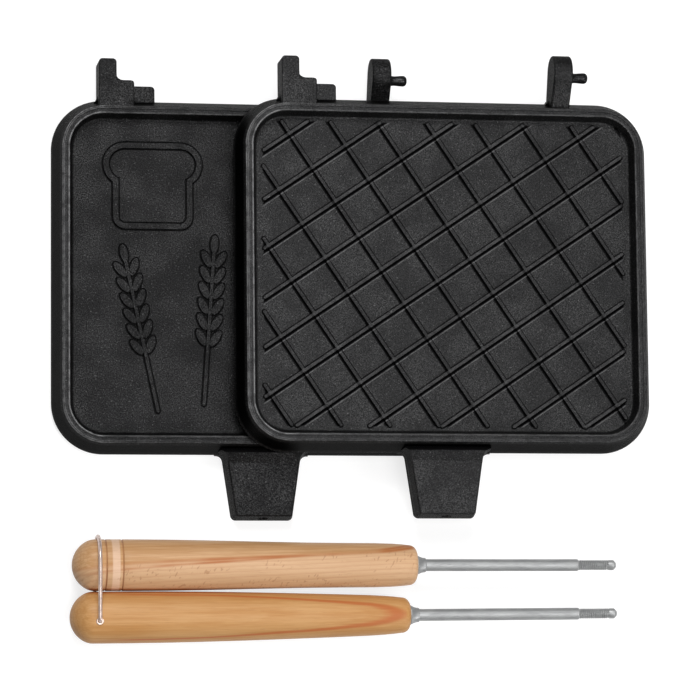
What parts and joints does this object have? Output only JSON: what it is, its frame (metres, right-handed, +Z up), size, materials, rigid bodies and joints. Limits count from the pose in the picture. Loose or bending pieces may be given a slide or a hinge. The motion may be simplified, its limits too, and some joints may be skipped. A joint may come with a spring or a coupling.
{
  "type": "sandwich iron",
  "caption": "Hinged cast sandwich iron taken apart: coated plates with a lattice, wooden handles on threaded rods held together by a wire bail.",
  "frame": {"origin": "middle of the laid-out set at the table", "axes": "+Z up from the table, +Y from the handles towards the hinge side of the plates, +X along the rods towards their threaded tips"},
  "size_m": [0.2498, 0.2442, 0.0365],
  "materials": {
    "coating": "black non-stick coating on cast aluminium, satin with a fine speckle",
    "pin_steel": "blackened",
    "beech": "oiled, satin",
    "rod_steel": "zinc plated, satin",
    "wire": "bright"
  },
  "bodies": {
    "back_plate_body": {"back_plate": "coating", "back_hinge_pin": "pin_steel"},
    "front_plate_body": {"front_plate": "coating", "front_hinge_pin": "pin_steel"},
    "lower_handle": {"lower_grip": "beech", "lower_rod": "rod_steel", "lower_ferrule": "rod_steel", "bail_eyelet_top": "wire", "bail_eyelet_bottom": "wire"},
    "upper_handle": {"upper_grip": "beech", "upper_rod": "rod_steel", "upper_ferrule": "rod_steel"},
    "bail_body": {"bail": "wire"}
  },
  "joints": [
    {"name": "plate_hinge", "type": "hinge", "parent": "back_plate_body", "child": "front_plate_body", "pos_m": [0.0939, 0.11295, 0.0292], "axis": [-1, 0, 0], "range_deg": [0, 110]},
    {"name": "lower_handle_slide", "type": "slide", "parent": "back_plate_body", "child": "lower_handle", "axis": [-1, 0, 0], "range_m": [0, 0.08]},
    {"name": "upper_handle_turn", "type": "hinge", "parent": "lower_handle", "child": "upper_handle", "pos_m": [0.05, -0.09025, 0.01245], "axis": [1, 0, 0], "continuous": true},
    {"name": "bail_swing", "type": "hinge", "parent": "lower_handle", "child": "bail_body", "pos_m": [-0.10669, -0.11339, 0.02115], "axis": [0, 0, 1], "range_deg": [0, 100]}
  ]
}
